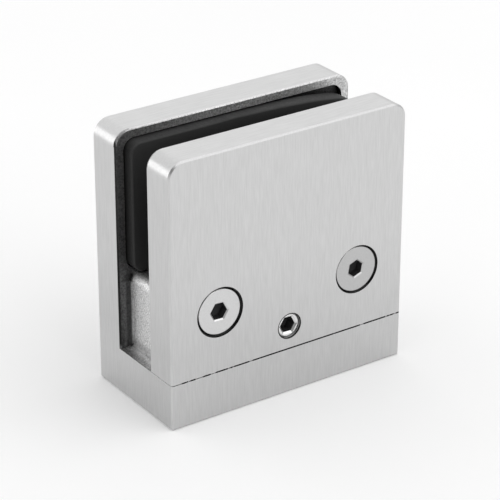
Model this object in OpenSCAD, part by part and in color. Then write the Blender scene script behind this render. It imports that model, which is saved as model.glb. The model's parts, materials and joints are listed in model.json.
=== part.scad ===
// Square glass panel clamp, fixed through its base.
// A cast body carries the rear jaw and the seat for the glass. A front plate stands on the base and is
// drawn towards the rear jaw by two countersunk screws. A set screw low in the plate bears on the body
// as a fulcrum, so that the plate stays parallel to the glass. Each jaw holds a rubber gasket.
// Origin: centre of the underside. X runs along the glass, and the front plate faces -Y.

/* [Jaws] */
// Width of the clamp along the glass
clamp_w = 65; // [60:1:90]
// Height of both jaws above the mounting surface
clamp_h = 66; // [60:1:90]
// Thickness of the front plate
front_t = 9; // [8:0.5:13]
// Thickness of the rear jaw
rear_t = 9.5; // [7:0.5:14]
// Width of the slot between the jaws, fully closed
slot_w = 13; // [12:0.5:22]
// Radius of the jaws' top corners
corner_r = 4; // [2:0.5:6]
// Broken edge round the ground faces
edge_break = 0.4; // [0.2:0.1:0.8]

/* [Base and glass seat] */
// Height of the solid base under the slot
base_h = 11.5; // [9:0.5:14]
// Distance from the seat block's ends to the clamp's sides
block_inset = 2.8; // [2.6:0.2:6]
// Radius over the ends of the seat block
block_end_r = 2.5; // [1:0.5:4]
// Radius along the front of the glass seat
block_edge_r = 1; // [0.4:0.1:1.2]
// Cast fillet at the block's foot and against the rear jaw
block_foot_r = 1.8; // [0.6:0.2:3]
// Metal over the clamping screws' threads, up to the glass
seat_wall = 1.5; // [1.3:0.1:4]
// Gap between the seat block and the closed front plate
plate_gap = 0.3; // [0.2:0.1:0.6]
// Hairline seam under the front plate
seam_gap = 0.15; // [0.1:0.05:0.3]

/* [Gaskets] */
// Width of the cast rim round each gasket pocket
rim_w = 2.2; // [1.5:0.1:3.5]
// Radius of the pockets' corners
pocket_r = 3; // [2:0.5:5]
// Depth of the pockets in the jaws
pocket_depth = 1.5; // [0.5:0.25:2.5]
// How far each gasket stands out of its jaw
gasket_proud = 3; // [1.5:0.25:4]
// Gap round each gasket in its pocket
gasket_gap = 0.35; // [0.1:0.05:0.6]
// Radius of the corner where the gasket is prised out
gasket_lift_r = 8; // [4:0.5:10]

/* [Clamping screws] */
// Nominal diameter of the clamping screws
screw_d = 6; // [5:1:6]
// Length of the screws, countersunk heads included
screw_len = 20; // [16:1:22]
// Distance of the screws from the clamp's sides
screw_inset = 13.3; // [12:0.1:16]
// Height of the screws above the foot of the front plate
screw_up = 15; // [13.5:0.5:18]
// Diameter of the countersunk heads
head_d = 11.3; // [10.5:0.1:12]
// Height of the straight edge of the heads
head_rim = 0.35; // [0.2:0.05:0.6]
// Depth of the heads below the plate's face
head_recess = 0.35; // [0.1:0.05:0.8]
// Gap round the heads at the plate's face
head_gap = 0.45; // [0.2:0.05:0.6]
// Hexagon socket of the heads, across flats
head_hex = 4; // [3:0.5:4]
// Depth of the heads' sockets
head_hex_depth = 2.3; // [1.5:0.1:2.5]
// Diameter of the screws' holes through the front plate
through_d = 6.6; // [6.4:0.1:7]
// Chamfer on the screws' ends
tip_chamfer = 0.8; // [0.4:0.1:1.2]
// Angle at which the left screw's hexagon stands
left_turn = 0; // [0:5:55]
// Angle at which the right screw's hexagon stands
right_turn = 30; // [0:5:55]

/* [Set screw] */
// Nominal diameter of the set screw
set_d = 6; // [5:1:6]
// Length of the set screw
set_len = 8; // [6:0.5:8]
// Height of the set screw above the foot of the front plate
set_up = 5.8; // [4:0.1:7]
// Depth of the set screw below the plate's face
set_recess = 0.5; // [0.2:0.1:0.6]
// Hexagon socket of the set screw, across flats
set_hex = 3; // [2.5:0.5:3]
// Depth of the set screw's socket
set_hex_depth = 3; // [2:0.5:4]
// Chamfer on both ends of the set screw
set_chamfer = 0.6; // [0.3:0.1:0.9]

/* [Fits and fixing] */
// Radial clearance of the threads in their holes
thread_gap = 0.05; // [0.02:0.01:0.1]
// Diameter of the fixing thread in the underside
mount_d = 8; // [6:1:8]
// Depth of the fixing thread
mount_depth = 12; // [10:0.5:13]
// Chamfer at the mouth of the fixing thread
mount_chamfer = 0.6; // [0.3:0.1:1]

/* [Hidden] */
$fn = 96;

depth = front_t + slot_w + rear_t;
front_y = -depth / 2;             // outer face of the front plate and of the base
plate_y = front_y + front_t;      // inner face of the front plate
block_y = plate_y + plate_gap;    // front of the seat block
back_y = depth / 2;
jaw_y = back_y - rear_t;          // inner face of the rear jaw
plate_foot = base_h + seam_gap;
screw_x = clamp_w / 2 - screw_inset;
screw_z = plate_foot + screw_up;
set_z = plate_foot + set_up;
seat_z = screw_z + screw_d / 2 + thread_gap + seat_wall;
block_w = clamp_w - 2 * block_inset;
pocket_w = clamp_w - 2 * rim_w;
pocket_top = clamp_h - rim_w;
head_y = front_y + head_recess;
tip_y = head_y + screw_len;
set_y = front_y + set_recess;
drill_over = 1.2;                 // tapped holes run this far past the screws' ends
socket_point = 0.6;               // drilled point below each hexagon socket
socket_wall = 0.1;                // ledge left round that point
over = 1;                         // cutters run this far past the faces that they open

steel = "#c6c8c9";
screw_steel = "#d6d8da";
rubber = "#242424";

// ---- shared shapes ----

// Raises a drawing made in X and Z into a plate from y0 to y1.
module across(y0, y1) {
    translate([0, y1, 0]) rotate([90, 0, 0]) linear_extrude(y1 - y0) children();
}

// Turns a profile about the Y axis. Each of its points is a radius and a place along Y.
module turned(profile) {
    rotate([-90, 0, 0]) rotate_extrude() polygon(profile);
}

// What lies outside a round corner, for a corner at the origin with the metal on +X and +Y.
module corner_waste(r) {
    difference() {
        translate([-over, -over]) square(r + over);
        translate([r, r]) circle(r);
    }
}

// A sheet from z0 to z1. The radii are those of its top left, top right and two foot corners.
module sheet(w, z0, z1, top_left, top_right, foot = 0) {
    difference() {
        translate([-w / 2, z0]) square([w, z1 - z0]);
        translate([-w / 2, z1]) mirror([0, 1]) corner_waste(top_left);
        translate([w / 2, z1]) mirror([1, 0]) mirror([0, 1]) corner_waste(top_right);
        if (foot > 0) for (side = [0, 1])
            mirror([side, 0]) translate([-w / 2, z0]) corner_waste(foot);
    }
}

// Section of the waste outside a broken edge at the origin, with the metal on -X and +Y.
module edge_section() {
    polygon([[-edge_break - over, -over], [over, -over], [over, edge_break + over]]);
}

// Breaks both upright edges of a face at y = 0 whose metal lies on +Y.
module upright_edges(z0, z1) {
    for (side = [0, 1])
        mirror([side, 0, 0]) translate([clamp_w / 2, 0, z0]) linear_extrude(z1 - z0) edge_section();
}

// Breaks the edges of a jaw's face: upright, round its corners and along its top.
module jaw_edges(z0) {
    upright_edges(z0, clamp_h - corner_r);
    for (side = [0, 1])
        mirror([side, 0, 0]) translate([clamp_w / 2 - corner_r, 0, clamp_h - corner_r])
            rotate([90, 0, 0]) rotate_extrude(angle = 90)
                translate([corner_r, 0]) mirror([0, 1]) edge_section();
    translate([clamp_w / 2 - corner_r, 0, clamp_h]) rotate([0, -90, 0])
        linear_extrude(clamp_w - 2 * corner_r) edge_section();
}

// Breaks the four edges of the underside.
module foot_edges() {
    for (turn = [0, 90, 180, 270]) {
        across_y = turn % 180 == 0;
        rotate([0, 0, turn]) translate([(across_y ? clamp_w : depth) / 2, 0, 0]) rotate([90, 0, 0])
            linear_extrude((across_y ? depth : clamp_w) + 2 * over, center = true) edge_section();
    }
}

// Hexagon socket sunk from a face at y, with its drilled point.
module hex_socket(y, flats, deep, turn) {
    floor_y = y + deep;
    drill_r = flats / 2 - socket_wall;
    translate([0, y - over, 0]) rotate([-90, turn, 0])
        cylinder(h = floor_y - y + over, d = flats / cos(30), $fn = 6);
    turned([[0, floor_y - deep / 2], [drill_r, floor_y - deep / 2], [drill_r, floor_y],
            [0, floor_y + socket_point]]);
}

// Hole along Y for a thread of diameter d.
module threaded_hole(y0, y1, d) {
    hole_r = d / 2 + thread_gap;
    turned([[0, y0], [hole_r, y0], [hole_r, y1], [0, y1]]);
}

// Puts its children on the axes of both clamping screws.
module at_screws() {
    for (side = [-1, 1]) translate([side * screw_x, 0, screw_z]) children();
}

// ---- body casting ----

// Section of a cast fillet in the corner between two walls, which lie on -X and -Y of the origin.
module fillet_section() {
    difference() {
        translate([-over, -over]) square(block_foot_r + over);
        translate([block_foot_r, block_foot_r]) circle(block_foot_r);
    }
}

// Seat block between the jaws: round over its ends and along its front edge, and filleted at its foot
// and against the rear jaw.
module seat_block() {
    difference() {
        across(block_y, jaw_y + rear_t / 2) {
            sheet(block_w, base_h / 2, seat_z, block_end_r, block_end_r);
            for (side = [0, 1]) mirror([side, 0]) translate([block_w / 2, base_h]) fillet_section();
        }
        translate([0, block_y, seat_z]) rotate([90, 0, 90])
            linear_extrude(clamp_w, center = true) mirror([0, 1]) corner_waste(block_edge_r);
    }
    for (side = [0, 1])
        mirror([side, 0, 0]) translate([block_w / 2, jaw_y, base_h / 2])
            linear_extrude(seat_z - block_end_r - base_h / 2) mirror([0, 1]) fillet_section();
}

// Recess for a gasket, sunk towards +Y into a face at y.
module gasket_pocket(y) {
    across(y - over, y + pocket_depth)
        sheet(pocket_w, seat_z, pocket_top, pocket_r, pocket_r, pocket_r);
}

module body() {
    color(steel) difference() {
        union() {
            translate([-clamp_w / 2, front_y, 0]) cube([clamp_w, depth, base_h]);
            across(jaw_y, back_y) sheet(clamp_w, 0, clamp_h, corner_r, corner_r);
            seat_block();
        }
        gasket_pocket(jaw_y);
        // tapped holes for the clamping screws, on into the rear jaw
        at_screws() threaded_hole(block_y - over, tip_y + drill_over, screw_d);
        // fixing thread and its mouth
        translate([0, 0, -over]) cylinder(h = mount_depth + over, d = mount_d);
        cylinder(h = 2 * mount_chamfer, r1 = mount_d / 2 + mount_chamfer, r2 = mount_d / 2 - mount_chamfer);
        // broken edges
        translate([0, back_y, 0]) rotate([0, 0, 180]) jaw_edges(-over);
        translate([0, jaw_y, 0]) jaw_edges(base_h);
        translate([0, front_y, 0]) upright_edges(-over, base_h + over);
        foot_edges();
    }
}

// ---- front plate ----

// Countersunk hole that keeps thread_gap outside the screw's head all the way down its cone.
module screw_seat() {
    hole_r = head_d / 2 + head_gap;
    cone_y = head_y + head_rim - (head_gap - thread_gap);
    cone_end = cone_y + hole_r - through_d / 2;
    turned([[0, front_y - over], [hole_r, front_y - over], [hole_r, cone_y], [through_d / 2, cone_end],
            [through_d / 2, plate_y + over], [0, plate_y + over]]);
}

module front_plate() {
    color(steel) difference() {
        across(front_y, plate_y) sheet(clamp_w, plate_foot, clamp_h, corner_r, corner_r);
        rotate([0, 0, 180]) gasket_pocket(-plate_y);
        at_screws() screw_seat();
        translate([0, 0, set_z]) threaded_hole(front_y - over, plate_y + over, set_d);
        translate([0, front_y, 0]) jaw_edges(plate_foot - over);
        translate([0, plate_y, 0]) rotate([0, 0, 180]) jaw_edges(plate_foot - over);
    }
}

// ---- gaskets ----

// Rubber pad that fills a pocket at y = 0 sunk towards +Y, and stands out of it.
module gasket() {
    across(-gasket_proud, pocket_depth)
        sheet(pocket_w - 2 * gasket_gap, seat_z + gasket_gap, pocket_top - gasket_gap,
              pocket_r - gasket_gap, gasket_lift_r, pocket_r - gasket_gap);
}

module rear_gasket() {
    color(rubber) translate([0, jaw_y, 0]) gasket();
}

module front_gasket() {
    color(rubber) translate([0, plate_y, 0]) rotate([0, 0, 180]) gasket();
}

// ---- screws ----

// Countersunk screw on the Y axis. turn is how far its hexagon stands turned.
module clamp_screw(turn) {
    cone_y = head_y + head_rim;
    shank_y = cone_y + (head_d - screw_d) / 2;
    color(screw_steel) difference() {
        turned([[0, head_y], [head_d / 2, head_y], [head_d / 2, cone_y], [screw_d / 2, shank_y],
                [screw_d / 2, tip_y - tip_chamfer], [screw_d / 2 - tip_chamfer, tip_y], [0, tip_y]]);
        hex_socket(head_y, head_hex, head_hex_depth, turn);
    }
}

module clamp_screw_left() {
    translate([-screw_x, 0, screw_z]) clamp_screw(left_turn);
}

module clamp_screw_right() {
    translate([screw_x, 0, screw_z]) clamp_screw(right_turn);
}

module set_screw() {
    end_y = set_y + set_len;
    color(screw_steel) translate([0, 0, set_z]) difference() {
        turned([[0, set_y], [set_d / 2 - set_chamfer, set_y], [set_d / 2, set_y + set_chamfer],
                [set_d / 2, end_y - set_chamfer], [set_d / 2 - set_chamfer, end_y], [0, end_y]]);
        hex_socket(set_y, set_hex, set_hex_depth, 0);
    }
}

body();
front_plate();
rear_gasket();
front_gasket();
clamp_screw_left();
clamp_screw_right();
set_screw();
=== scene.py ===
# %% [markdown]
# # A clamp for a glass panel
#
# The clamp is a small casting in stainless steel. Its body carries the rear jaw, a front plate is drawn
# towards it by two countersunk screws, and a rubber pad lines each jaw. A set screw low in the plate
# keeps the plate upright while the screws are tightened.
#
# The shapes come from the CAD model, which is loaded first and never moved. Blender adds what CAD leaves
# plain: the brushed and the cast skin of the steel, soft rubber, real threads and turned screw heads.

# %% The CAD model comes in
import json
import math

import bmesh
import bpy
from mathutils import Matrix, Vector, noise

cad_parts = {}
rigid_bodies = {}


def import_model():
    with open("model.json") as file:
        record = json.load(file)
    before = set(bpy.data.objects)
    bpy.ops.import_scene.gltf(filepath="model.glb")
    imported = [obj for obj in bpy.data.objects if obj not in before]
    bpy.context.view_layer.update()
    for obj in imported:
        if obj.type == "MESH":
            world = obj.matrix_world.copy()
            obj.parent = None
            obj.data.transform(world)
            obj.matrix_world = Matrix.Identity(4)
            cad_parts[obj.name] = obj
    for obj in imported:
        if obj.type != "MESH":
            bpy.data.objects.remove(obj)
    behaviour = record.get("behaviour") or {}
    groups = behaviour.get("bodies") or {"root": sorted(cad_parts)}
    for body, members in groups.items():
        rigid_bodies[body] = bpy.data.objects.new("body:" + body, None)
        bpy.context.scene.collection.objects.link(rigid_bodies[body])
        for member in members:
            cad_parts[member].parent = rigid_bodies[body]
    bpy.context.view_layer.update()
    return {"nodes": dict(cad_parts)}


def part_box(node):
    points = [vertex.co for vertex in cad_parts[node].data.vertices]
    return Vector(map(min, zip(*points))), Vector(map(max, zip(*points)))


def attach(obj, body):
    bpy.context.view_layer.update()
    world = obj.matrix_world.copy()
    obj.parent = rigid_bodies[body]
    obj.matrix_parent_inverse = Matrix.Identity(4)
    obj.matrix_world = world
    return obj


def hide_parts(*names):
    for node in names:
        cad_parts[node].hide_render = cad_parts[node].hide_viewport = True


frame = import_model()
nodes = frame["nodes"]
MM = 0.001
print("CAD nodes:", ", ".join(sorted(nodes)))

# %% [markdown]
# ## Where things are
#
# Places are read from the boxes of the CAD nodes. The body's box gives the outside, the front plate's
# gives the seam and the inner side of the plate, and the pads' boxes give the pockets that they fill.

# %% Places taken from the CAD model
body_low, body_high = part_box("body")
plate_low, plate_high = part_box("front_plate")
pad_low, pad_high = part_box("rear_gasket")

POCKET = 1.5 * MM                   # depth of the pads' pockets
RIM = 2.2 * MM                      # width of the cast rim round each pocket
PLATE = plate_high.y                # inner face of the front plate
JAW = pad_high.y - POCKET           # inner face of the rear jaw
SEAM = plate_low.z                  # foot of the front plate
SEAM_GAP = 0.15 * MM                # height of the seam below it
HALF_W, TOP = body_high.x, body_high.z
print("jaw face at %.2f mm, plate at %.2f mm, seam at %.2f mm" % (JAW / MM, PLATE / MM, SEAM / MM))

# %% [markdown]
# ## Colours and nodes
#
# Colours are written as the hex values that a paint program shows. Blender calculates with linear light,
# so one function turns them. A second small function adds a shader node, sets it and wires it up, which
# keeps the materials below short enough to read from top to bottom, and a third starts a material with
# no nodes in it. A Mix node has its float inputs at numbers 2 and 3 and its colours at 6 and 7, so those
# are given by number. So are a Map Range node's: the value comes in at 0, 1 and 2 are where a change
# starts and ends, and 3 and 4 are what comes out there.


# %% Three helpers for the materials
def linear(hex_colour):
    """Linear RGBA of an sRGB hex colour."""
    parts = [int(hex_colour[i:i + 2], 16) / 255 for i in (1, 3, 5)]
    return [c / 12.92 if c <= 0.04045 else ((c + 0.055) / 1.055) ** 2.4 for c in parts] + [1.0]


def add(tree, kind, inputs=None, **settings):
    """Adds a node. Inputs hold a value or another node's socket, by name or by number."""
    node = tree.nodes.new(kind)
    for name, value in settings.items():
        setattr(node, name, value)
    for name, value in (inputs or {}).items():
        if isinstance(value, bpy.types.NodeSocket):
            tree.links.new(value, node.inputs[name])
        else:
            node.inputs[name].default_value = value
    return node


def blank_material(name):
    """A new material without nodes, and its node tree."""
    material = bpy.data.materials.new(name)
    material.use_nodes = True
    material.node_tree.nodes.clear()
    return material, material.node_tree


print("mid grey #808080 is", round(linear("#808080")[0], 3), "in linear light")

# %% [markdown]
# ## The steel and its two skins
#
# The body and the plate are castings in stainless steel. Their outer faces are ground and then brushed
# upright with a 180 grit belt, which leaves fine lines, a soft sheen and no colour. Inside the slot the
# metal is as it came out of the mould: darker, and covered in sand grain.
#
# Both skins are on one solid, so one material has to know where it is. It could look at face numbers,
# but those change when the CAD does. Comparing the position with the planes of the slot is steadier.
# One small class gathers all that the material asks about a point, and the functions below read it.


# %% Where a point of the steel is
class Place:
    """Sockets for a point's place and for the way it faces. side is its distance from the middle of the
    clamp, and behind is how far it lies behind the slot's face, which is at y = slot_face."""

    def __init__(self, tree, slot_face, outwards):
        texture = add(tree, "ShaderNodeTexCoord").outputs
        self.point = texture["Object"]
        self.x, self.y, self.z = add(tree, "ShaderNodeSeparateXYZ", {0: self.point}).outputs
        facing = add(tree, "ShaderNodeSeparateXYZ", {0: texture["Normal"]})
        self.faces_x, self.faces_y, self.faces_z = facing.outputs
        self.side = add(tree, "ShaderNodeMath", {0: self.x}, operation="ABSOLUTE").outputs[0]
        self.behind = add(tree, "ShaderNodeMath", {0: self.y, 1: outwards, 2: -outwards * slot_face},
                          operation="MULTIPLY_ADD").outputs[0]


print("the slot of the closed clamp is %.2f mm wide" % ((JAW - PLATE) / MM))

# %% [markdown]
# The cast skin ends at the slot's face. A little noise is added to that plane, because a belt never stops
# at an exact line, and at the sides the cast skin runs over the broken edge. The pocket behind the face is
# cast all through.

# %% Which skin a point has
BELT_WANDER = 0.5 * MM      # how far the line between the skins strays
WANDER_LENGTH = 1.3 * MM    # and over which distance
CAST_EDGE = 0.35 * MM       # width of the broken edge that is cast too
EDGE_STARTS, EDGE_FULL = HALF_W - 4.5 * MM, HALF_W - 3 * MM     # from the middle, where it widens to that
POCKET_SIDE, POCKET_TOP = HALF_W - 0.97 * RIM, TOP - 0.97 * RIM
POCKET_REACH = 1.1 * POCKET     # how far behind the face the pocket is cast
HAIR = 0.02 * MM            # keeps the cast skin off the outer faces


def where(tree, *tests):
    """1 where every value passes its test against its limit, 0 elsewhere."""
    mask = 1.0
    for value, test, limit in tests:
        passed = add(tree, "ShaderNodeMath", {0: value, 1: limit}, operation=test)
        mask = add(tree, "ShaderNodeMath", {0: mask, 1: passed.outputs[0]}, operation="MULTIPLY").outputs[0]
    return mask


def cast_mask(tree, at):
    """1 where the skin is cast, 0 where it is brushed."""
    stray = add(tree, "ShaderNodeTexNoise", {"Vector": at.point, "Scale": 1 / WANDER_LENGTH, "Detail": 3.0})
    edge = add(tree, "ShaderNodeMapRange", {0: at.side, 1: EDGE_STARTS, 2: EDGE_FULL,
                                            3: -0.1 * BELT_WANDER, 4: CAST_EDGE})
    stray = add(tree, "ShaderNodeMath", {0: stray.outputs[0], 1: BELT_WANDER, 2: edge.outputs[0]},
                operation="MULTIPLY_ADD")
    in_pocket = where(tree, (at.side, "LESS_THAN", POCKET_SIDE), (at.z, "LESS_THAN", POCKET_TOP))
    reach = add(tree, "ShaderNodeMix", {0: in_pocket, 2: stray.outputs[0], 3: POCKET_REACH})
    return where(tree, (at.behind, "LESS_THAN", reach.outputs[0]), (at.side, "LESS_THAN", HALF_W - HAIR),
                 (at.z, "LESS_THAN", TOP - HAIR), (at.z, "GREATER_THAN", SEAM - SEAM_GAP - HAIR))


print("cast skin up to the slot's face, give or take %.2f mm" % (BELT_WANDER / MM / 2))

# %% [markdown]
# Narrow gaps are the third kind of place. The steel in the countersinks, round the set screw and in the seam
# between plate and body is painted nearly black: painted shade for these narrow gaps. Round a screw the
# painted shade is placed by the distance from the screw's axis and by the depth below the plate's outer
# face.

# %% Painted shade in the gaps round the screws
# painted shade round each screw: radius, and depths where it starts and ends
LEFT_SINK = (6.22 * MM, -0.1 * MM, 9 * MM)        # radius, and depths where the oil starts and ends
RIGHT_SINK = (6.2 * MM, 0.03 * MM, 9 * MM)
SET_HOLE = (3.28 * MM, -0.1 * MM, 0.3 * MM)
GAPS = (LEFT_SINK, RIGHT_SINK, SET_HOLE)
screw_boxes = [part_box(name) for name in ("clamp_screw_left", "clamp_screw_right", "set_screw")]


def shade_round_screws(tree, at):
    """1 in the gaps round the three screws, 0 elsewhere."""
    flat = add(tree, "ShaderNodeVectorMath", {0: at.point, 1: (1, 0, 1)}, operation="MULTIPLY")
    depth = add(tree, "ShaderNodeMath", {0: at.y, 1: plate_low.y}, operation="SUBTRACT")
    mask = 0.0
    for (low, high), (radius, first, last) in zip(screw_boxes, GAPS):
        axis = ((low.x + high.x) / 2, 0, (low.z + high.z) / 2)
        away = add(tree, "ShaderNodeVectorMath", {0: flat.outputs[0], 1: axis}, operation="DISTANCE")
        gap = where(tree, (away.outputs["Value"], "LESS_THAN", radius),
                    (depth.outputs[0], "GREATER_THAN", first), (depth.outputs[0], "LESS_THAN", last))
        mask = add(tree, "ShaderNodeMath", {0: mask, 1: gap}, operation="MAXIMUM").outputs[0]
    return mask


print("oil round", len(screw_boxes), "screws")

# %% [markdown]
# The seam's painted shade is only dark in parts, because its two edges touch here and there. Noise along the
# seam says how far the painted shade spreads, and it spreads less towards the ends. It stops short of the
# left corner.

# %% Painted shade in the seam
SPOT_LENGTH = 2 * MM        # of the dark spots
DARKEST = 6 * MM            # x where the seam is darkest
MORE_SHADE, LESS_SHADE = 0.12, -0.07        # added to the noise there, and half a clamp's width away
# painted shade in the seam: how high it reaches, how deep it goes, and how far it stays off the left corner
SPREAD = {1: 0.38, 2: 0.48, 3: 0.0, 4: 0.19 * MM}     # from noise to the height that the oil covers
SEAM_DEPTH = 1 * MM         # how deep the oil goes
UNSHADED_CORNER = 1.4 * MM     # length at the left end without oil


def shade_in_seam(tree, at):
    """1 along the seam at the front, with interruptions, 0 elsewhere."""
    along = add(tree, "ShaderNodeMapping", {"Vector": at.point, "Scale": (1 / SPOT_LENGTH, 1, 1)})
    spots = add(tree, "ShaderNodeTexNoise", {"Vector": along.outputs[0], "Scale": 1.0, "Detail": 3.0})
    away = add(tree, "ShaderNodeMath", {0: at.x, 1: DARKEST}, operation="SUBTRACT")
    away = add(tree, "ShaderNodeMath", {0: away.outputs[0]}, operation="ABSOLUTE")
    more = add(tree, "ShaderNodeMapRange", {0: away.outputs[0], 1: 0.0, 2: HALF_W,
                                            3: MORE_SHADE, 4: LESS_SHADE})
    spots = add(tree, "ShaderNodeMath", {0: spots.outputs[0], 1: more.outputs[0]})
    reach = add(tree, "ShaderNodeMapRange", {0: spots.outputs[0], **SPREAD})
    height = add(tree, "ShaderNodeMath", {0: at.z, 1: SEAM - SEAM_GAP / 2}, operation="SUBTRACT")
    height = add(tree, "ShaderNodeMath", {0: height.outputs[0]}, operation="ABSOLUTE")
    return where(tree, (height.outputs[0], "LESS_THAN", reach.outputs[0]),
                 (at.y, "LESS_THAN", plate_low.y + SEAM_DEPTH),
                 (at.x, "GREATER_THAN", UNSHADED_CORNER - HALF_W))


print("oil in the seam at %.2f mm, in spots %.0f mm long" % (SEAM / MM, SPOT_LENGTH / MM))

# %% [markdown]
# The brushed skin is noise that is drawn out sixteen times along the belt's travel. It shifts the tone a
# little, opens and closes the gloss, and raises the surface by a few thousandths of a millimetre. The
# top faces were brushed along the clamp, so they look up a second noise that is drawn out that way.
#
# The tone isn't quite even, and these changes are painted shade. It falls off towards the foot. The broken
# edges along the tops are a little darker, which tones down their highlight. The two sides are darker higher
# up.

# %% The brushed skin
BELT_LINE = 0.32 * MM       # real lines are finer, and are drawn this wide so that they show
BELT_LENGTH = 5 * MM
TOP_FACE = 0.75             # a normal that points up more than this belongs to a top face
BRUSHED = "#cecece"
# Where each change of tone starts and ends, and the tones there:
STREAKS = {1: 0.3, 2: 0.7, 3: 0.945, 4: 1.045}              # by the noise of the belt
# painted shade: the brushed tone falls off towards the foot
FOOT_SHADE = {1: 0.0, 2: 35 * MM, 3: 0.9, 4: 1.0}              # by height
# painted shade on the broken edges along the tops, which tones down their highlight
EDGE_SHADE = {1: 0.1, 2: 0.4, 3: 1.0, 4: 0.86}                   # by how far a face turns up and forwards
# painted shade on the sides, darker higher up
SIDE_SHADE = {1: 9 * MM, 2: 18 * MM, 3: 1.02, 4: 0.92}         # on the sides, by height
SIDEWAYS = {1: 0.5, 2: 0.95}                                # which normals count as the sides


def belt_lines(tree, at):
    """The belt's fine lines, upright on the faces and along the clamp on the tops."""
    fine, long = 1 / BELT_LINE, 1 / BELT_LENGTH
    belts = []
    for scale in ((fine, fine, long), (long, fine, fine)):
        drawn_out = add(tree, "ShaderNodeMapping", {"Vector": at.point, "Scale": scale})
        belts.append(add(tree, "ShaderNodeTexNoise", {"Vector": drawn_out.outputs[0], "Scale": 1.0,
                                                      "Detail": 3.0, "Roughness": 0.6}).outputs[0])
    is_top = add(tree, "ShaderNodeMath", {0: at.faces_z, 1: TOP_FACE}, operation="GREATER_THAN")
    return add(tree, "ShaderNodeMix", {0: is_top.outputs[0], 2: belts[0], 3: belts[1]}).outputs[0]


def brushed_colour(tree, at, lines):
    """The colour of the brushed skin."""
    streaks = add(tree, "ShaderNodeMapRange", {0: lines, **STREAKS})
    foot_shade = add(tree, "ShaderNodeMapRange", {0: at.z, **FOOT_SHADE})
    forwards = add(tree, "ShaderNodeMath", {0: at.faces_y}, operation="ABSOLUTE")
    slanting = add(tree, "ShaderNodeMath", {0: forwards.outputs[0], 1: at.faces_z}, operation="MINIMUM")
    edge_shade = add(tree, "ShaderNodeMapRange", {0: slanting.outputs[0], **EDGE_SHADE})
    sideways = add(tree, "ShaderNodeMath", {0: at.faces_x}, operation="ABSOLUTE")
    sideways = add(tree, "ShaderNodeMapRange", {0: sideways.outputs[0], **SIDEWAYS})
    side_shade = add(tree, "ShaderNodeMapRange", {0: at.z, **SIDE_SHADE})
    side_shade = add(tree, "ShaderNodeMix", {0: sideways.outputs[0], 2: 1.0, 3: side_shade.outputs[0]})
    tone = streaks
    for part in (foot_shade, edge_shade, side_shade):
        tone = add(tree, "ShaderNodeMath", {0: tone.outputs[0], 1: part.outputs[0]}, operation="MULTIPLY")
    return add(tree, "ShaderNodeMix", {0: 1.0, 6: linear(BRUSHED), 7: tone.outputs[0]},
               data_type="RGBA", blend_type="MULTIPLY").outputs[2]


print("belt lines are drawn out %.0f times" % (BELT_LENGTH / BELT_LINE))

# %% [markdown]
# The cast skin mixes a dark and a light grey grain by grain, and has the deeper relief. It isn't even
# either. The jaw's face is darker to the left, partly dark scale from the mould and partly painted shade.
# Painted shade also darkens the jaw's face low down, the fillet between jaw and block, the block's foot and
# the pocket deep behind the face, and painted light brightens the level faces and the end of the seat block
# above its foot. Dark scale from the mould is left on the flash along the broken edges.
#
# Under the plate the flash is packed with pale polishing dust. Its colour there is raised above the cast
# skin's, partly dust and partly painted light, so the seam's shade nearly vanishes at the sides. Dust is no
# metal, so a second function says where the bare metal is.

# %% The cast skin
CAST_GRAIN = 0.38 * MM      # grain of the moulding sand
CAST_DARK, CAST_LIGHT = "#969696", "#ebebeb"
GRAINS = {1: 0.32, 2: 0.68}                                         # from noise to the mix of both
# the jaw's face darker to the left: partly dark scale, partly painted shade
SCALE_AND_SHADE_LEFT = {1: -30 * MM, 2: -8 * MM, 3: 0.44, 4: 1.0}             # on the jaw's face, by x
# painted shade on the jaw's face low down
SHADE_LOW = {1: TOP - 32 * MM, 2: TOP - 18 * MM, 3: 0.6, 4: 1.0}    # on the jaw's face, by height
# painted shade in the fillet between jaw and block
SHADE_FILLET = {1: -0.3 * MM, 2: -0.02 * MM, 3: 0.27, 4: 1.0}       # by distance from the jaw's face
NEAR_JAW = {1: -1.8 * MM, 2: -0.95 * MM}                            # where the block's end starts
# painted shade at the block's foot and painted light on its end above
BLOCK_END_SHADE_AND_LIGHT = {1: SEAM, 2: SEAM + 3.5 * MM, 3: 0.25, 4: 1.17}         # on the block's end, by height
LEVEL = {1: 0.6, 2: 0.95}                                           # which normals count as level
# painted light on the level faces
LEVEL_LIGHT = 1.2
FLASH = {1: HALF_W - 0.5 * MM, 2: HALF_W - 0.35 * MM}               # where the flash starts
FLASH_DARK = {1: SEAM + 0.3 * MM, 2: SEAM + 1 * MM, 3: 0.8, 4: 0.12}    # its tone, by height
# dust under the plate's sides, with painted light over the seam's shade
DUST_AND_LIGHT = 1.5
# painted shade deep in the pocket
POCKET_SHADE = {1: 0.6 * MM, 2: 1 * MM, 3: 1.0, 4: 0.1}              # by depth behind the face


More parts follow.
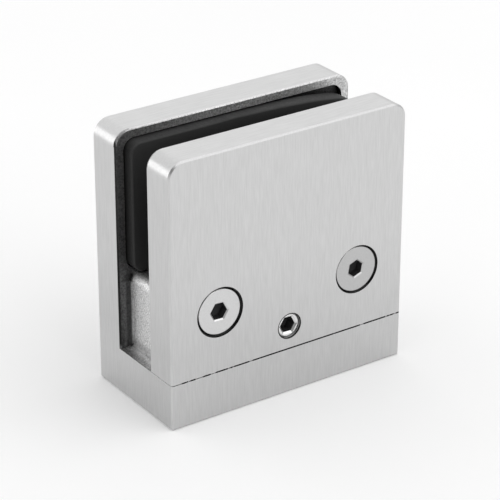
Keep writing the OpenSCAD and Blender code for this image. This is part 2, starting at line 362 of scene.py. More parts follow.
def cast_colour(tree, at, grain):
    """The colour of the cast skin."""
    grains = add(tree, "ShaderNodeMapRange", {0: grain, **GRAINS})
    sandy = add(tree, "ShaderNodeMix", {0: grains.outputs[0], 6: linear(CAST_DARK), 7: linear(CAST_LIGHT)},
                data_type="RGBA")
    on_jaw = add(tree, "ShaderNodeMapRange", {0: at.x, **SCALE_AND_SHADE_LEFT})
    for value, change in ((at.z, SHADE_LOW), (at.behind, SHADE_FILLET)):
        part = add(tree, "ShaderNodeMapRange", {0: value, **change})
        on_jaw = add(tree, "ShaderNodeMath", {0: on_jaw.outputs[0], 1: part.outputs[0]},
                     operation="MULTIPLY")
    near_jaw = add(tree, "ShaderNodeMapRange", {0: at.behind, **NEAR_JAW})
    on_block = add(tree, "ShaderNodeMapRange", {0: at.z, **BLOCK_END_SHADE_AND_LIGHT})
    tone = add(tree, "ShaderNodeMix", {0: near_jaw.outputs[0], 2: on_block.outputs[0],
                                       3: on_jaw.outputs[0]})
    level = add(tree, "ShaderNodeMapRange", {0: at.faces_z, **LEVEL})
    tone = add(tree, "ShaderNodeMix", {0: level.outputs[0], 2: tone.outputs[0], 3: LEVEL_LIGHT})
    under_plate = add(tree, "ShaderNodeMath", {0: at.y, 1: PLATE}, operation="LESS_THAN")
    flash = add(tree, "ShaderNodeMapRange", {0: at.z, **FLASH_DARK})
    flash = add(tree, "ShaderNodeMix", {0: under_plate.outputs[0], 2: flash.outputs[0], 3: DUST_AND_LIGHT})
    at_edge = add(tree, "ShaderNodeMapRange", {0: at.side, **FLASH})
    flash = add(tree, "ShaderNodeMix", {0: at_edge.outputs[0], 2: 1.0, 3: flash.outputs[0]})
    pocket = add(tree, "ShaderNodeMapRange", {0: at.behind, **POCKET_SHADE})
    for part in (flash, pocket):
        tone = add(tree, "ShaderNodeMath", {0: tone.outputs[0], 1: part.outputs[0]}, operation="MULTIPLY")
    return add(tree, "ShaderNodeMix", {0: 1.0, 6: sandy.outputs[2], 7: tone.outputs[0]},
               data_type="RGBA", blend_type="MULTIPLY").outputs[2]


def bare_metal(tree, at, cast):
    """0 in the dust under the plate's sides, 1 elsewhere."""
    dust = add(tree, "ShaderNodeMapRange", {0: at.side, **FLASH})
    under_plate = add(tree, "ShaderNodeMath", {0: at.y, 1: PLATE}, operation="LESS_THAN")
    for part in (under_plate.outputs[0], cast):
        dust = add(tree, "ShaderNodeMath", {0: dust.outputs[0], 1: part}, operation="MULTIPLY")
    return add(tree, "ShaderNodeMath", {0: 1.0, 1: dust.outputs[0]}, operation="SUBTRACT").outputs[0]


print("cast grain of %.2f mm" % (CAST_GRAIN / MM))

# %% [markdown]
# The material itself picks the skin for each point and puts the painted shade of the gaps on top. Only the
# body has dust, so the plate's skin gets its Metallic as a plain number.

# %% Brushed and cast stainless steel
# colour of the painted shade in the gaps
GAP_SHADE_COLOUR = "#262626"
SHEEN = {1: 0.3, 2: 0.7, 3: 0.36, 4: 0.28}      # roughness of the brushed skin, by the noise of the belt
CAST_ROUGHNESS = 0.4
BRUSHED_RELIEF, CAST_RELIEF = 0.02 * MM, 0.12 * MM


def steel_skin(name, slot_face, outwards, dusty):
    """Stainless casting, brushed outside and as cast in the slot."""
    material, tree = blank_material(name)
    at = Place(tree, slot_face, outwards)
    cast = cast_mask(tree, at)
    lines = belt_lines(tree, at)
    grain = add(tree, "ShaderNodeTexNoise", {"Vector": at.point, "Scale": 1 / CAST_GRAIN, "Detail": 4.0,
                                             "Roughness": 0.65}).outputs[0]
    # painted shade in the gaps round the screws and in the seam
    gap_shade = add(tree, "ShaderNodeMath", {0: shade_round_screws(tree, at), 1: shade_in_seam(tree, at)},
              operation="MAXIMUM")
    colour = add(tree, "ShaderNodeMix", {0: cast, 6: brushed_colour(tree, at, lines),
                                         7: cast_colour(tree, at, grain)}, data_type="RGBA")
    colour = add(tree, "ShaderNodeMix", {0: gap_shade.outputs[0], 6: colour.outputs[2], 7: linear(GAP_SHADE_COLOUR)},
                 data_type="RGBA")
    sheen = add(tree, "ShaderNodeMapRange", {0: lines, **SHEEN})
    gloss = add(tree, "ShaderNodeMix", {0: cast, 2: sheen.outputs[0], 3: CAST_ROUGHNESS})
    brushed = add(tree, "ShaderNodeBump", {"Strength": 0.25, "Distance": BRUSHED_RELIEF, "Height": lines})
    sandy = add(tree, "ShaderNodeBump", {"Strength": 0.9, "Distance": CAST_RELIEF, "Height": grain})
    relief = add(tree, "ShaderNodeMix", {0: cast, 4: brushed.outputs[0], 5: sandy.outputs[0]},
                 data_type="VECTOR")
    metal = add(tree, "ShaderNodeBsdfPrincipled", {
        "Base Color": colour.outputs[2], "Metallic": bare_metal(tree, at, cast) if dusty else 1.0,
        "Roughness": gloss.outputs[0], "Normal": relief.outputs[1]})
    add(tree, "ShaderNodeOutputMaterial", {"Surface": metal.outputs[0]})
    return material


for node, slot_face, outwards in (("body", JAW, 1), ("front_plate", PLATE, -1)):
    skin = steel_skin("stainless_casting_" + node, slot_face, outwards, dusty=node == "body")
    nodes[node].data.materials.clear()
    nodes[node].data.materials.append(skin)
    print(node, "wears", skin.name)

# %% [markdown]
# ## The screws
#
# The two clamping screws are countersunk M6 screws, turned from bright stainless bar. Their faces are
# smooth, with the faint rings of the lathe. The hexagon sockets were pressed in, and the punch left a small
# chamfer at their mouths that follows the hexagon. Its lower side catches the light. Down in the socket a
# dark material is painted shade.
#
# Each head could be cut with booleans. Here one lathe profile does it instead: every ring of the screw
# has the same 96 points, and a ring is either round or follows a hexagon, so rings of both kinds join up
# to clean quads. 96 is a multiple of six, so the hexagon's corners are exact.


# %% Rings that are round or hexagonal
POINTS = 96


def ring(size, y, hexagonal=False):
    """Points round the Y axis. size is the radius, or for a hexagon half its width across flats."""
    made = []
    for i in range(POINTS):
        angle = 2 * math.pi * i / POINTS
        radius = size / math.cos(angle % (math.pi / 3) - math.pi / 6) if hexagonal else size
        made.append(Vector((radius * math.cos(angle), y, radius * math.sin(angle))))
    return made


def lathe(rings, first_y, last_y, turn, dark):
    """A closed solid through the rings, from a point at first_y to one at last_y, turned about the Y axis
    by turn degrees. The bands whose numbers are in dark take the second material; band 0 closes the
    start."""
    work = bmesh.new()
    ends = [work.verts.new((0, first_y, 0)), work.verts.new((0, last_y, 0))]
    rows = [[work.verts.new(p) for p in r] for r in rings]
    for i in range(POINTS):
        j = (i + 1) % POINTS
        work.faces.new((ends[0], rows[0][i], rows[0][j])).material_index = int(0 in dark)
        work.faces.new((ends[1], rows[-1][j], rows[-1][i]))
        for k in range(len(rows) - 1):
            face = work.faces.new((rows[k][i], rows[k][j], rows[k + 1][j], rows[k + 1][i]))
            face.material_index = int(k + 1 in dark)
    bmesh.ops.rotate(work, verts=work.verts, matrix=Matrix.Rotation(math.radians(-turn), 3, "Y"))
    return work


print("a ring has", POINTS, "points, of which six are a hexagon's corners")

# %% [markdown]
# Every piece is finished in the same way. Its edges are sharp where the surface really turns, and smooth
# elsewhere. It rides on the body that carries it, says what it is made of, and hides the CAD node that it
# stands for, if it stands for one.


# %% From bmesh work to a finished piece
def finish_piece(work, name, body, materials, stands_for=None, crease=32):
    """Turns the bmesh work into a finished piece that rides on a CAD body. Edges that turn by more than
    crease degrees stay sharp."""
    bmesh.ops.recalc_face_normals(work, faces=work.faces)
    for face in work.faces:
        face.smooth = True
    for edge in work.edges:
        edge.smooth = len(edge.link_faces) == 2 and edge.calc_face_angle() < math.radians(crease)
    mesh = bpy.data.meshes.new(name)
    work.to_mesh(mesh)
    work.free()
    for material in materials:
        mesh.materials.append(material)
    piece = bpy.data.objects.new(name, mesh)
    bpy.context.scene.collection.objects.link(piece)
    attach(piece, body)
    if stands_for:
        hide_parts(stands_for)
    print("%s: %d faces" % (name, len(mesh.polygons)))
    return piece


print("the scene has", len(bpy.context.scene.collection.all_objects), "objects so far")

# %% [markdown]
# A thread is a ridge that climbs one pitch each turn. It follows a rule, so Geometry Nodes make it: a
# spiral curve, with a trapezoid swept along it. The same tree makes the outside threads of the screws
# and the inside thread of the fixing hole. There the crest is nearer the axis than the root, so the
# depth is negative, and its sign turns the tooth inwards.
#
# Blender's spiral climbs left-handed unless Reverse is on, and every thread here is right-handed. The
# curve's normals are set to Z-up, so that the trapezoid doesn't twist on its way.

# %% A tree for threads
SIZES = {"Pitch": 1 * MM, "Length": 10 * MM, "Root Radius": 2.4 * MM, "Crest Radius": 3 * MM}
FOOT_WIDTH, CREST_WIDTH = 0.88, 0.16        # of the tooth, in pitches
CURVE_STEPS = 48                            # in one turn
TOOTH_TURN = math.radians(-90)              # turns the tooth's top away from the axis


def thread_tree():
    """A right-handed thread ridge that climbs along Z from the origin."""
    tree = bpy.data.node_groups.new("thread_ridge", "GeometryNodeTree")
    for name, start in SIZES.items():
        socket = tree.interface.new_socket(name=name, in_out="INPUT", socket_type="NodeSocketFloat")
        socket.default_value = start
    tree.interface.new_socket(name="Steel", in_out="INPUT", socket_type="NodeSocketMaterial")
    tree.interface.new_socket(name="Geometry", in_out="OUTPUT", socket_type="NodeSocketGeometry")
    sizes = add(tree, "NodeGroupInput").outputs
    turns = add(tree, "ShaderNodeMath", {0: sizes["Length"], 1: sizes["Pitch"]}, operation="DIVIDE")
    middle = add(tree, "ShaderNodeMix", {0: 0.5, 2: sizes["Root Radius"], 3: sizes["Crest Radius"]})
    depth = add(tree, "ShaderNodeMath", {0: sizes["Crest Radius"], 1: sizes["Root Radius"]},
                operation="SUBTRACT")
    height = add(tree, "ShaderNodeMath", {0: depth.outputs[0]}, operation="ABSOLUTE")
    outwards = add(tree, "ShaderNodeMath", {0: depth.outputs[0]}, operation="SIGN")
    angle = add(tree, "ShaderNodeMath", {0: outwards.outputs[0], 1: TOOTH_TURN}, operation="MULTIPLY")
    angles = add(tree, "ShaderNodeCombineXYZ", {"Z": angle.outputs[0]})
    turned = add(tree, "FunctionNodeEulerToRotation", {0: angles.outputs[0]})
    foot = add(tree, "ShaderNodeMath", {0: sizes["Pitch"], 1: FOOT_WIDTH}, operation="MULTIPLY")
    crest = add(tree, "ShaderNodeMath", {0: sizes["Pitch"], 1: CREST_WIDTH}, operation="MULTIPLY")
    path = add(tree, "GeometryNodeCurveSpiral", {
        "Resolution": CURVE_STEPS, "Rotations": turns.outputs[0], "Start Radius": middle.outputs[0],
        "End Radius": middle.outputs[0], "Height": sizes["Length"], "Reverse": True})
    path = add(tree, "GeometryNodeSetCurveNormal", {"Curve": path.outputs[0]}, mode="Z_UP")
    tooth = add(tree, "GeometryNodeCurvePrimitiveQuadrilateral", {
        "Height": height.outputs[0], "Bottom Width": foot.outputs[0], "Top Width": crest.outputs[0],
        "Offset": 0.0}, mode="TRAPEZOID")
    tooth = add(tree, "GeometryNodeTransform", {0: tooth.outputs[0], "Rotation": turned.outputs[0]})
    ridge = add(tree, "GeometryNodeCurveToMesh", {"Curve": path.outputs[0],
                                                  "Profile Curve": tooth.outputs[0], "Fill Caps": True})
    ridge = add(tree, "GeometryNodeRealizeInstances", {0: ridge.outputs[0]})
    ridge = add(tree, "GeometryNodeSetMaterial", {"Geometry": ridge.outputs[0], "Material": sizes["Steel"]})
    add(tree, "NodeGroupOutput", {0: ridge.outputs[0]})
    return tree


THREAD = thread_tree()
print("thread tree with", len(THREAD.nodes), "nodes")

# %% [markdown]
# The tree needs an object to work on. Each thread gets an empty one that is thrown away again, once what
# the modifier made is copied to a mesh. The tree's inputs are set by their identifiers, because a
# modifier doesn't know their names.


# %% One thread as a mesh
def thread(pitch, length, root, crest, steel, place):
    """The mesh of one thread, moved by the matrix place."""
    carrier = bpy.data.objects.new("thread_carrier", bpy.data.meshes.new("thread_carrier"))
    bpy.context.scene.collection.objects.link(carrier)
    modifier = carrier.modifiers.new("Thread", "NODES")
    modifier.node_group = THREAD
    values = {"Pitch": pitch, "Length": length, "Root Radius": root, "Crest Radius": crest, "Steel": steel}
    for socket in THREAD.interface.items_tree:
        if socket.name in values:
            modifier[socket.identifier] = values[socket.name]
    seen = bpy.context.evaluated_depsgraph_get()
    mesh = bpy.data.meshes.new_from_object(carrier.evaluated_get(seen), depsgraph=seen)
    bpy.data.objects.remove(carrier)
    mesh.transform(place)
    return mesh


print("inputs of a thread:", ", ".join(SIZES))

# %% [markdown]
# Bright turned steel reflects like the casting but more sharply. The lathe's rings are a sine of the
# distance from the screw's own axis, a fifth of a millimetre apart. Real ones are finer, and are drawn
# that coarse so that they show.

# %% Turned stainless steel
LATHE_STEP = 0.2 * MM                           # from one of the lathe's rings to the next
SPECK = 0.3 * MM
SPECKLED = {1: 0.3, 2: 0.7, 3: 0.96, 4: 1.03}   # tone, by the noise of the specks
TURNED_RELIEF = 0.01 * MM


def turned_steel(name, tint, roughness, axis_x, axis_z):
    """Bright steel with lathe rings about the upright plane's point axis_x, axis_z."""
    material, tree = blank_material(name)
    here = add(tree, "ShaderNodeTexCoord").outputs["Object"]
    centred = add(tree, "ShaderNodeMapping", {"Vector": here, "Location": (-axis_x, 0, -axis_z)})
    flat = add(tree, "ShaderNodeVectorMath", {0: centred.outputs[0], 1: (1, 0, 1)}, operation="MULTIPLY")
    away = add(tree, "ShaderNodeVectorMath", {0: flat.outputs[0]}, operation="LENGTH")
    phase = add(tree, "ShaderNodeMath", {0: away.outputs["Value"], 1: 2 * math.pi / LATHE_STEP},
                operation="MULTIPLY")
    rings = add(tree, "ShaderNodeMath", {0: phase.outputs[0]}, operation="SINE")
    specks = add(tree, "ShaderNodeTexNoise", {"Vector": here, "Scale": 1 / SPECK, "Detail": 2.0})
    height = add(tree, "ShaderNodeMath", {0: rings.outputs[0], 1: 0.15, 2: specks.outputs[0]},
                 operation="MULTIPLY_ADD")
    relief = add(tree, "ShaderNodeBump", {"Strength": 0.3, "Distance": TURNED_RELIEF,
                                          "Height": height.outputs[0]})
    shade = add(tree, "ShaderNodeMapRange", {0: specks.outputs[0], **SPECKLED})
    colour = add(tree, "ShaderNodeMix", {0: 1.0, 6: linear(tint), 7: shade.outputs[0]},
                 data_type="RGBA", blend_type="MULTIPLY")
    metal = add(tree, "ShaderNodeBsdfPrincipled", {"Base Color": colour.outputs[2], "Metallic": 1.0,
                                                   "Roughness": roughness, "Normal": relief.outputs[0]})
    add(tree, "ShaderNodeOutputMaterial", {"Surface": metal.outputs[0]})
    return material


print("lathe rings %.1f mm apart" % (LATHE_STEP / MM))

# %% [markdown]
# The sockets' insides, and the band at the rim of each clamping screw's head, take a dark material that is
# painted shade. It has only a little of the metal's shine.

# %% Painted shade in the sockets
# patches and colours of the painted shade in the sockets
SHADE_PATCH = 0.5 * MM
SHADE_DARK, SHADE_LIGHT = "#202020", "#464647"


def socket_shade():
    """A dark, dull material that is painted shade in sockets and gaps."""
    material, tree = blank_material("socket_painted_shade")
    here = add(tree, "ShaderNodeTexCoord").outputs["Object"]
    shade_patches = add(tree, "ShaderNodeTexNoise", {"Vector": here, "Scale": 1 / SHADE_PATCH, "Detail": 3.0})
    colour = add(tree, "ShaderNodeMix", {0: shade_patches.outputs[0], 6: linear(SHADE_DARK), 7: linear(SHADE_LIGHT)},
                 data_type="RGBA")
    steel = add(tree, "ShaderNodeBsdfPrincipled", {"Base Color": colour.outputs[2], "Metallic": 0.3,
                                                   "Roughness": 0.6})
    add(tree, "ShaderNodeOutputMaterial", {"Surface": steel.outputs[0]})
    return material


SOCKET_SHADE = socket_shade()
print("socket skin:", SOCKET_SHADE.name)

# %% [markdown]
# Every screw here has an M6 thread. The screw is turned about the Y axis first, gets its thread there,
# and is then moved to its own axis in the mesh, so that its object stays at the origin.

# %% An M6 screw from its turned blank
M6_BAR = 3 * MM             # radius of the bar that the thread is cut on
M6_CORE = 2.39 * MM         # radius at the thread's root
M6_CREST = 2.94 * MM
M6_PITCH = 1 * MM
BURIED = 0.05 * MM          # the ridge starts that deep inside the core


def along_y(start):
    """Lays something that climbs along Z down along +Y, starting at y = start."""
    return Matrix.Translation((0, start, 0)) @ Matrix.Rotation(-math.pi / 2, 4, "X")


def m6_screw(node, body, blank, steel, start, end):
    """The screw that stands for a CAD node: its blank, with a thread from y = start to y = end."""
    low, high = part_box(node)
    ridge = thread(M6_PITCH, end - start, M6_CORE - BURIED, M6_CREST, steel, along_y(start))
    blank.from_mesh(ridge)
    bmesh.ops.translate(blank, verts=blank.verts, vec=((low.x + high.x) / 2, 0, (low.z + high.z) / 2))
    return finish_piece(blank, "threaded_" + node, body, [steel, SOCKET_SHADE], node)


print("M6 thread of %.2f mm depth" % ((M6_CREST - M6_CORE) / MM))

# %% [markdown]
# The left clamping screw is a little brighter than the right one, and its socket is a little wider, as
# two screws out of a box are. Each stopped at its own angle when it was tightened, so each is turned.
# The head has a straight band at its rim, which takes the dark material as painted shade in the gap round
# the head, and under it a cone of 90 degrees runs down to the bar.

# %% The two clamping screws
CHAMFER = 0.28 * MM         # at the socket's mouth
SOCKET_DEPTH, SOCKET_TIP = 2.3 * MM, 2.9 * MM   # down to its floor, and to the tip of the drilled cone
DRILL = 1.7 * MM            # radius of that cone
EDGE = 0.12 * MM            # the head's broken edge
BAND = 0.35 * MM            # from the face to the start of the head's cone
PLAIN, NECKED = 0.4 * MM, 1 * MM        # below the cone: to where the bar is whole, and is the thread's root
END, END_CHAMFER = 2.1 * MM, 0.8 * MM   # radius of the flat end, and the chamfer's length along the bar
RIDGE_GAP = 0.9 * MM        # free of the thread's ridge below the cone and before the end


def clamping_screw(side, tint, roughness, socket, turn):
    """The countersunk screw on one side. Its socket is half its width across flats, and turn is the
    angle that it stopped at, in degrees."""
    node = "clamp_screw_" + side
    low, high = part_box(node)
    face, tip = low.y, high.y
    head = (high.x - low.x) / 2
    neck = face + BAND + head - M6_BAR
    rings = [ring(DRILL, face + SOCKET_DEPTH), ring(socket, face + SOCKET_DEPTH, True),
             ring(socket, face + CHAMFER, True), ring(socket + CHAMFER, face, True),
             ring(head - EDGE, face), ring(head, face + EDGE), ring(head, face + BAND),
             ring(M6_BAR, neck), ring(M6_BAR, neck + PLAIN), ring(M6_CORE, neck + NECKED),
             ring(M6_CORE, tip - END_CHAMFER), ring(END, tip)]
    # the socket's bands and the band at the head's rim take the painted shade
    blank = lathe(rings, face + SOCKET_TIP, tip, turn, dark=(0, 1, 2, 6))
    steel = turned_steel("turned_steel_" + side, tint, roughness, (low.x + high.x) / 2,
                         (low.z + high.z) / 2)
    return m6_screw(node, side + "_screw", blank, steel, neck + RIDGE_GAP, tip - RIDGE_GAP)


clamping_screw("left", "#d5d5d5", 0.3, 1.93 * MM, -3)
clamping_screw("right", "#bebebe", 0.3, 1.84 * MM, 20)

# %% [markdown]
# The set screw is a headless M6 screw with a socket of 3.5 mm. A broad chamfer that follows the hexagon
# takes up much of its face, and the lower side of it shines inside the plate's hole. The far end bears on
# the seat block, so it is flat with a chamfer.

# %% The set screw
SET_SOCKET = 1.76 * MM      # half its width across flats
SET_DEPTH, SET_TIP, SET_DRILL = 3 * MM, 3.5 * MM, 1.5 * MM      # as for the clamping screws
SET_MOUTH, SET_CHAMFER = 2.2 * MM, 0.4 * MM     # half width at the face, and depth of the broad chamfer
SET_FACE = 2.7 * MM         # radius of the face, inside its broken edge
SET_BAR = 2.96 * MM         # radius of the bar, which fits the plate's hole
SET_EDGE, SET_PLAIN, SET_NECKED = 0.24 * MM, 0.75 * MM, 1.1 * MM    # depths of the next three rings
SET_END, SET_END_CHAMFER = 2 * MM, 0.6 * MM


def set_screw():
    """The headless screw low in the plate."""
    low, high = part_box("set_screw")
    face, tip = low.y, high.y
    rings = [ring(SET_DRILL, face + SET_DEPTH), ring(SET_SOCKET, face + SET_DEPTH, True),
             ring(SET_SOCKET, face + SET_CHAMFER, True), ring(SET_MOUTH, face, True),
             ring(SET_FACE, face), ring(SET_BAR, face + SET_EDGE), ring(SET_BAR, face + SET_PLAIN),
             ring(M6_CORE, face + SET_NECKED), ring(M6_CORE, tip - SET_END_CHAMFER), ring(SET_END, tip)]
    # the socket's bands take the painted shade
    blank = lathe(rings, face + SET_TIP, tip, -3, dark=(0, 1, 2))
    steel = turned_steel("turned_steel_set_screw", "#e3e3e3", 0.22, (low.x + high.x) / 2,
                         (low.z + high.z) / 2)
    return m6_screw("set_screw", "fulcrum_screw", blank, steel, face + 1 * MM, tip - 0.7 * MM)


set_screw()

# %% [markdown]
# The fixing hole in the underside takes an M8 stud. CAD has it as a plain hole of the thread's outer
# diameter, so the thread's ridge is a piece of its own that stands inwards from the hole's wall.

# %% The thread in the underside
M8_ROOT, M8_CREST, M8_PITCH = 4.0 * MM, 3.35 * MM, 1.25 * MM
IN_WALL = 0.02 * MM         # the ridge starts that deep in the hole's wall
FIRST_TURN, THREAD_LENGTH = 1.2 * MM, 9.5 * MM
tapped_steel = turned_steel("tapped_steel", "#bababa", 0.35, 0, 0)
tapped = bmesh.new()
tapped.from_mesh(thread(M8_PITCH, THREAD_LENGTH, M8_ROOT + IN_WALL, M8_CREST, tapped_steel,
                        Matrix.Translation((0, 0, FIRST_TURN))))
finish_piece(tapped, "fixing_thread_ridge", "clamp_body", [tapped_steel])

# %% [markdown]
# ## The rubber pads
#
# A pad of moulded black rubber is pressed into the pocket of each jaw. Its arrises are soft, and it
# doesn't lie as true as metal does: the long upper edge waves a little, and the rounded corner has been
# prised out of its pocket by a thumb.
#
# Cloth simulation would be the way for a stuffed cushion. This is solid rubber, so it is lofted instead.
# One outline is repeated through the thickness and follows a quarter circle round the front arris. On
# both faces it is drawn in by steps, and the last small outline is closed with flat triangles.

# %% The outline of a pad
ARC_STEPS = 12              # round each corner
LONG_STEPS, SHORT_STEPS = 36, 20        # along the sides


def pad_outline(half_w, bottom, top, radii):
    """Points round a rectangle with a radius for each corner: foot left, foot right, top right, top
    left."""
    corners = ((-half_w, bottom, 180), (half_w, bottom, 270), (half_w, top, 0), (-half_w, top, 90))
    arcs = []
    for (x, z, start), r in zip(corners, radii):
        cx, cz = x - math.copysign(r, x), z + (r if z == bottom else -r)
        angles = [math.radians(start + 90 * k / ARC_STEPS) for k in range(ARC_STEPS + 1)]
        arcs.append([(cx + r * math.cos(a), cz + r * math.sin(a)) for a in angles])
    points = []
    for i, arc in enumerate(arcs):
        (x0, z0), (x1, z1) = arc[-1], arcs[(i + 1) % 4][0]
        steps = LONG_STEPS if i % 2 == 0 else SHORT_STEPS
        points += arc + [(x0 + (x1 - x0) * k / steps, z0 + (z1 - z0) * k / steps) for k in range(1, steps)]
    return points


print("a pad's outline has", 4 * ARC_STEPS + 2 * (LONG_STEPS + SHORT_STEPS), "points")

# %% [markdown]
# The pad is lofted flat in a place of its own: its front looks along -Y, y = 0 is the jaw's face, and
# everything at positive y lies in the pocket. Then every point is moved by a small, smooth amount. The
# rounded upper corner comes forwards and swings out of the pocket, and the upper edge swells and waves.

# %% How a pad is bent
LOOSE = (40 * MM, 61 * MM)          # heights where the pad starts to give, and gives fully
HINGE, PRISE = -2 * MM, 32 * MM     # x where the prising starts, and how far on it is all there
SWUNG = (17 * MM, 31 * MM)          # x where the corner starts to swing out, and has swung out
SWING, DROP = 0.7, 0.42             # how far it swings outwards and drops there, as parts of the lift
SWELL, SWELL_WIDTH, SWELL_HEIGHT = 8 * MM, 11 * MM, 0.25        # x, reach and height of the swollen edge
WAVE_LENGTH, WAVE_HEIGHT = 9 * MM, 0.1                          # both heights are in millimetres


def smooth_step(value, low, high):
    """0 below low, 1 above high, and smooth between."""
    t = min(1.0, max(0.0, (value - low) / (high - low)))
    return t * t * (3 - 2 * t)


def bent(x, y, z, lift):
    """Where a point of the flat pad goes. The rounded corner is prised out of the pocket by lift."""
    upper = smooth_step(z, *LOOSE)
    prised = lift * upper * max(0.0, (x - HINGE) / PRISE)
    free = smooth_step(prised - y, 0, 1 * MM) * upper * smooth_step(x, *SWUNG)
    swell = math.exp(-((x - SWELL) / SWELL_WIDTH) ** 2) * upper * smooth_step(-y, 0, 1.2 * MM)
    wave = noise.noise((x / WAVE_LENGTH, y / WAVE_LENGTH, z / WAVE_LENGTH))
    wave *= upper * smooth_step(-y, 0, 1 * MM)
    return (x + SWING * lift * free, y - prised,
            z - DROP * lift * free + (SWELL_HEIGHT * swell + WAVE_HEIGHT * wave) * MM)


print("pads give from %.0f mm up" % (LOOSE[0] / MM))

# %% [markdown]
# One function makes both pads, because they are the same moulding. The front one is turned round, so
# that its rounded corner is on the other side, and it isn't prised out.

# %% A pad, lofted and then bent
SMALL, LARGE = 2.65 * MM, 6 * MM    # radii of the pad's corners
ARRIS = 0.4 * MM                    # radius round the front
BACK_INSETS = (9.5 * MM, 4 * MM, ARRIS / 2)
FRONT_INSETS = (2 * MM, 4 * MM, 6.5 * MM, 9.5 * MM, 13 * MM)
LAST_HALF = 1 * MM                  # half the height of the last outline on both faces


def rubber_pad(node, body, material, jaw, outwards, lift):
    """The pad in the jaw whose face is at y = jaw. Its rounded corner is on the right when outwards is 1
    and on the left when it is -1, and is prised out of the pocket by lift."""
    low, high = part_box(node)
    half_w, mid, half_h = (high.x - low.x) / 2, (low.z + high.z) / 2, (high.z - low.z) / 2
    proud = (high.y - low.y) - POCKET
    loft = [(inset, POCKET) for inset in (half_h - LAST_HALF, *BACK_INSETS)]
    loft += [(0, POCKET - ARRIS / 2 - (POCKET + proud - 1.5 * ARRIS) * k / 4) for k in range(5)]
    loft += [(ARRIS * (1 - math.cos(math.radians(a))), ARRIS - proud - ARRIS * math.sin(math.radians(a)))
             for a in (22.5, 45, 67.5, 90)]
    loft += [(inset, -proud) for inset in (*FRONT_INSETS, half_h - LAST_HALF)]
    work = bmesh.new()
    rows = []
    for inset, y in loft:
        radii = [max(0.0, r - inset) for r in (SMALL, SMALL, LARGE, SMALL)]
        outline = pad_outline(half_w - inset, mid - half_h + inset, mid + half_h - inset, radii)
        rows.append([work.verts.new((x, y, z)) for x, z in outline])
    count = len(rows[0])
    for upper, lower in zip(rows, rows[1:]):
        for i in range(count):
            work.faces.new((upper[i], upper[(i + 1) % count], lower[(i + 1) % count], lower[i]))
    work.faces.new(rows[0])
    work.faces.new(rows[-1])
    bmesh.ops.remove_doubles(work, verts=work.verts, dist=1e-7)
    bmesh.ops.triangulate(work, faces=[face for face in work.faces if len(face.verts) > 4])
    for point in work.verts:
        x, y, z = bent(*point.co, lift)
        point.co = (outwards * x, jaw + outwards * y, z)       # from the drawing's place to the jaw's
    return finish_piece(work, "moulded_" + node, body, [material], node, crease=50)


print("pads stand %.1f mm proud of their jaws" % ((pad_high.y - pad_low.y - POCKET) / MM))

# %% [markdown]
# The rubber is an EPDM moulding, 60 Shore A, black from its carbon filler. Its skin has the fine haze of a
# blasted mould, so it is matt. The edges and sides are painted blacker than the broad faces, which is
# painted shade, and whatever looks up is lighter in patches, partly dust and partly painted light.

# %% Moulded black rubber
HAZE = 0.4 * MM             # the blasted mould's grain, drawn coarser than real so that it shows
DUST_PATCH = 6 * MM
# painted shade on the edges and sides, and dust with painted light on whatever looks up
SHADED_EDGES, FACES, DUST_AND_TOP_LIGHT = "#181818", "#303030", "#3c3c3c"


def moulded_rubber():
    """Matt black moulded rubber with a fine blasted haze, painted shade on the edges, and dust and painted
    light on top.
    """
    material, tree = blank_material("moulded_epdm_rubber")
    texture = add(tree, "ShaderNodeTexCoord").outputs
    haze = add(tree, "ShaderNodeTexNoise", {"Vector": texture["Object"], "Scale": 1 / HAZE, "Detail": 4.0})
    dust = add(tree, "ShaderNodeTexNoise", {"Vector": texture["Object"], "Scale": 1 / DUST_PATCH,
                                            "Detail": 3.0})
    dust = add(tree, "ShaderNodeMapRange", {0: dust.outputs[0], 1: 0.4, 2: 0.7, 3: 0.45, 4: 0.8})
    facing = add(tree, "ShaderNodeSeparateXYZ", {0: texture["Normal"]})
    upwards = add(tree, "ShaderNodeMapRange", {0: facing.outputs["Z"], 1: 0.3, 2: 1.0})
    # dust and painted light on whatever looks up
    dust_and_light_on_top = add(tree, "ShaderNodeMath", {0: dust.outputs[0], 1: upwards.outputs[0]},
                  operation="MULTIPLY")
    forwards = add(tree, "ShaderNodeMath", {0: facing.outputs["Y"]}, operation="ABSOLUTE")
    colour = add(tree, "ShaderNodeMix", {0: forwards.outputs[0], 6: linear(SHADED_EDGES), 7: linear(FACES)},
                 data_type="RGBA")
    colour = add(tree, "ShaderNodeMix", {0: dust_and_light_on_top.outputs[0], 6: colour.outputs[2], 7: linear(DUST_AND_TOP_LIGHT)},
                 data_type="RGBA")
    gloss = add(tree, "ShaderNodeMapRange", {0: haze.outputs[0], 1: 0.3, 2: 0.7, 3: 0.5, 4: 0.68})
    relief = add(tree, "ShaderNodeBump", {"Strength": 0.4, "Distance": 0.03 * MM,
                                          "Height": haze.outputs[0]})
    rubber = add(tree, "ShaderNodeBsdfPrincipled", {
        "Base Color": colour.outputs[2], "Roughness": gloss.outputs[0], "Normal": relief.outputs[0],
        "Specular IOR Level": 0.3})
    add(tree, "ShaderNodeOutputMaterial", {"Surface": rubber.outputs[0]})
    return material


PRISED_BY = 3.2 * MM
RUBBER = moulded_rubber()
rubber_pad("rear_gasket", "clamp_body", RUBBER, JAW, 1, lift=PRISED_BY)
rubber_pad("front_gasket", "front_jaw", RUBBER, PLATE, -1, lift=0)

# %% [markdown]
# ## The studio
#
# A product like this is shot on a white light table with soft boxes round it. Steel shows little but its
# surroundings, so each face looks as bright as what it mirrors: the front and the side mirror the table.
# The table is opal acrylic, lit from below just enough to lift the shadows.

# %% Light table
TABLE_GLOW = 0.08
TABLE_HALF, TABLE_TOP = 2.0, -0.01 * MM     # half its width, and its surface just below the clamp


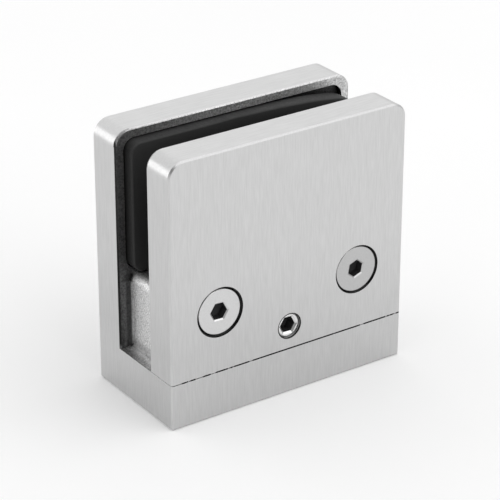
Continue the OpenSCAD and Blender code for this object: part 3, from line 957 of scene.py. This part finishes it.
def light_table():
    """Opal acrylic that glows a little from below."""
    material, tree = blank_material("opal_acrylic_table")
    here = add(tree, "ShaderNodeTexCoord").outputs["Object"]
    mottle = add(tree, "ShaderNodeTexNoise", {"Vector": here, "Scale": 8.0, "Detail": 2.0})
    colour = add(tree, "ShaderNodeMix", {0: mottle.outputs[0], 6: linear("#f2f2f2"), 7: linear("#f6f6f6")},
                 data_type="RGBA")
    acrylic = add(tree, "ShaderNodeBsdfPrincipled", {
        "Base Color": colour.outputs[2], "Roughness": 0.9, "Specular IOR Level": 0.1,
        "Emission Color": (1, 1, 1, 1), "Emission Strength": TABLE_GLOW})
    add(tree, "ShaderNodeOutputMaterial", {"Surface": acrylic.outputs[0]})
    return material


corners = [(x * TABLE_HALF, y * TABLE_HALF, TABLE_TOP) for x, y in ((-1, -1), (1, -1), (1, 1), (-1, 1))]
table_mesh = bpy.data.meshes.new("light_table")
table_mesh.from_pydata(corners, [], [(0, 1, 2, 3)])
table_mesh.materials.append(light_table())
table = bpy.data.objects.new("light_table", table_mesh)
bpy.context.scene.collection.objects.link(table)
print("table %.0f m wide" % (2 * TABLE_HALF))

# %% [markdown]
# The room is white all round, but for one place: it is dark where the camera stands, as in a real studio.
# What looks straight at the camera, such as a rounded arris, mirrors that place.

# %% White room
DARK_SIDE = (-0.509, -0.741, 0.437)         # from the clamp to the dark place
DARKENS = {1: 0.92, 2: 0.98, 3: 0.8, 4: 0.15}   # brightness, by how nearly one looks that way

room = bpy.data.worlds.new("white_room")
room.use_nodes = True
room.node_tree.nodes.clear()
looking = add(room.node_tree, "ShaderNodeTexCoord").outputs["Generated"]
that_way = add(room.node_tree, "ShaderNodeVectorMath", {0: looking, 1: DARK_SIDE},
               operation="DOT_PRODUCT")
shade = add(room.node_tree, "ShaderNodeMapRange", {0: that_way.outputs["Value"], **DARKENS})
walls = add(room.node_tree, "ShaderNodeBackground", {"Color": (1, 1, 1, 1), "Strength": shade.outputs[0]})
add(room.node_tree, "ShaderNodeOutputWorld", {"Surface": walls.outputs[0]})
bpy.context.scene.world = room
print("walls from %.2f down to %.2f" % (DARKENS[3], DARKENS[4]))

# %% [markdown]
# Three soft boxes do the rest. The round corners mirror one that stands low behind the clamp on the left,
# and the tops mirror a wide one behind. The third hangs high in front on the right and draws
# the bright line along the broken edges.


# %% Soft boxes
def soft_box(name, towards, away, width, height, brightness):
    """A soft box that shines on the clamp from the direction towards, away metres off."""
    lamp = bpy.data.lights.new(name, "AREA")
    lamp.shape, lamp.size, lamp.size_y = "RECTANGLE", width, height
    lamp.energy = brightness * math.pi * width * height
    box = bpy.data.objects.new(name, lamp)
    direction = Vector(towards).normalized()
    turned = direction.to_track_quat("Z", "Y").to_matrix().to_4x4()
    box.matrix_world = Matrix.Translation(direction * away) @ turned
    bpy.context.scene.collection.objects.link(box)
    print("%s: %.1f W" % (name, lamp.energy))


soft_box("low_box_behind_left", (-0.64, 0.74, 0.22), 0.6, 0.42, 0.27, 1.12)
soft_box("wide_box_behind", (0.15, 0.78, 0.5), 1.0, 1.4, 0.5, 0.35)
soft_box("high_box_front_right", (0.42, -0.6, 0.7), 1.0, 1.35, 1.35, 0.75)

# %% [markdown]
# The camera stands in front on the left and looks down at the clamp with a long lens, so upright edges
# stay almost parallel. Its place is given as two angles and a distance from the middle of the clamp, and
# it stands a little to the left of that line and below it.

# %% Camera
AZIMUTH, ELEVATION = math.radians(-34.51), math.radians(25.93)
DISTANCE, LENS, SENSOR = 528.24 * MM, 163.0, 36.0
TO_LEFT, BELOW = 0.213 * MM, 2.118 * MM
middle = Vector((0, 0, TOP / 2))
back = Vector((math.sin(AZIMUTH) * math.cos(ELEVATION), -math.cos(AZIMUTH) * math.cos(ELEVATION),
               math.sin(ELEVATION)))
right = Vector((math.cos(AZIMUTH), math.sin(AZIMUTH), 0))
up = back.cross(right)
stand = middle + back * DISTANCE - right * TO_LEFT - up * BELOW

lens = bpy.data.cameras.new("camera")
lens.lens, lens.sensor_width = LENS, SENSOR
lens.clip_start = 10 * MM
camera = bpy.data.objects.new("camera", lens)
camera.matrix_world = Matrix.Translation(stand) @ Matrix((right, up, back)).transposed().to_4x4()
bpy.context.scene.collection.objects.link(camera)
bpy.context.scene.camera = camera
bpy.context.scene.view_settings.view_transform = "Standard"
print("camera at", [round(c / MM, 1) for c in stand], "mm")
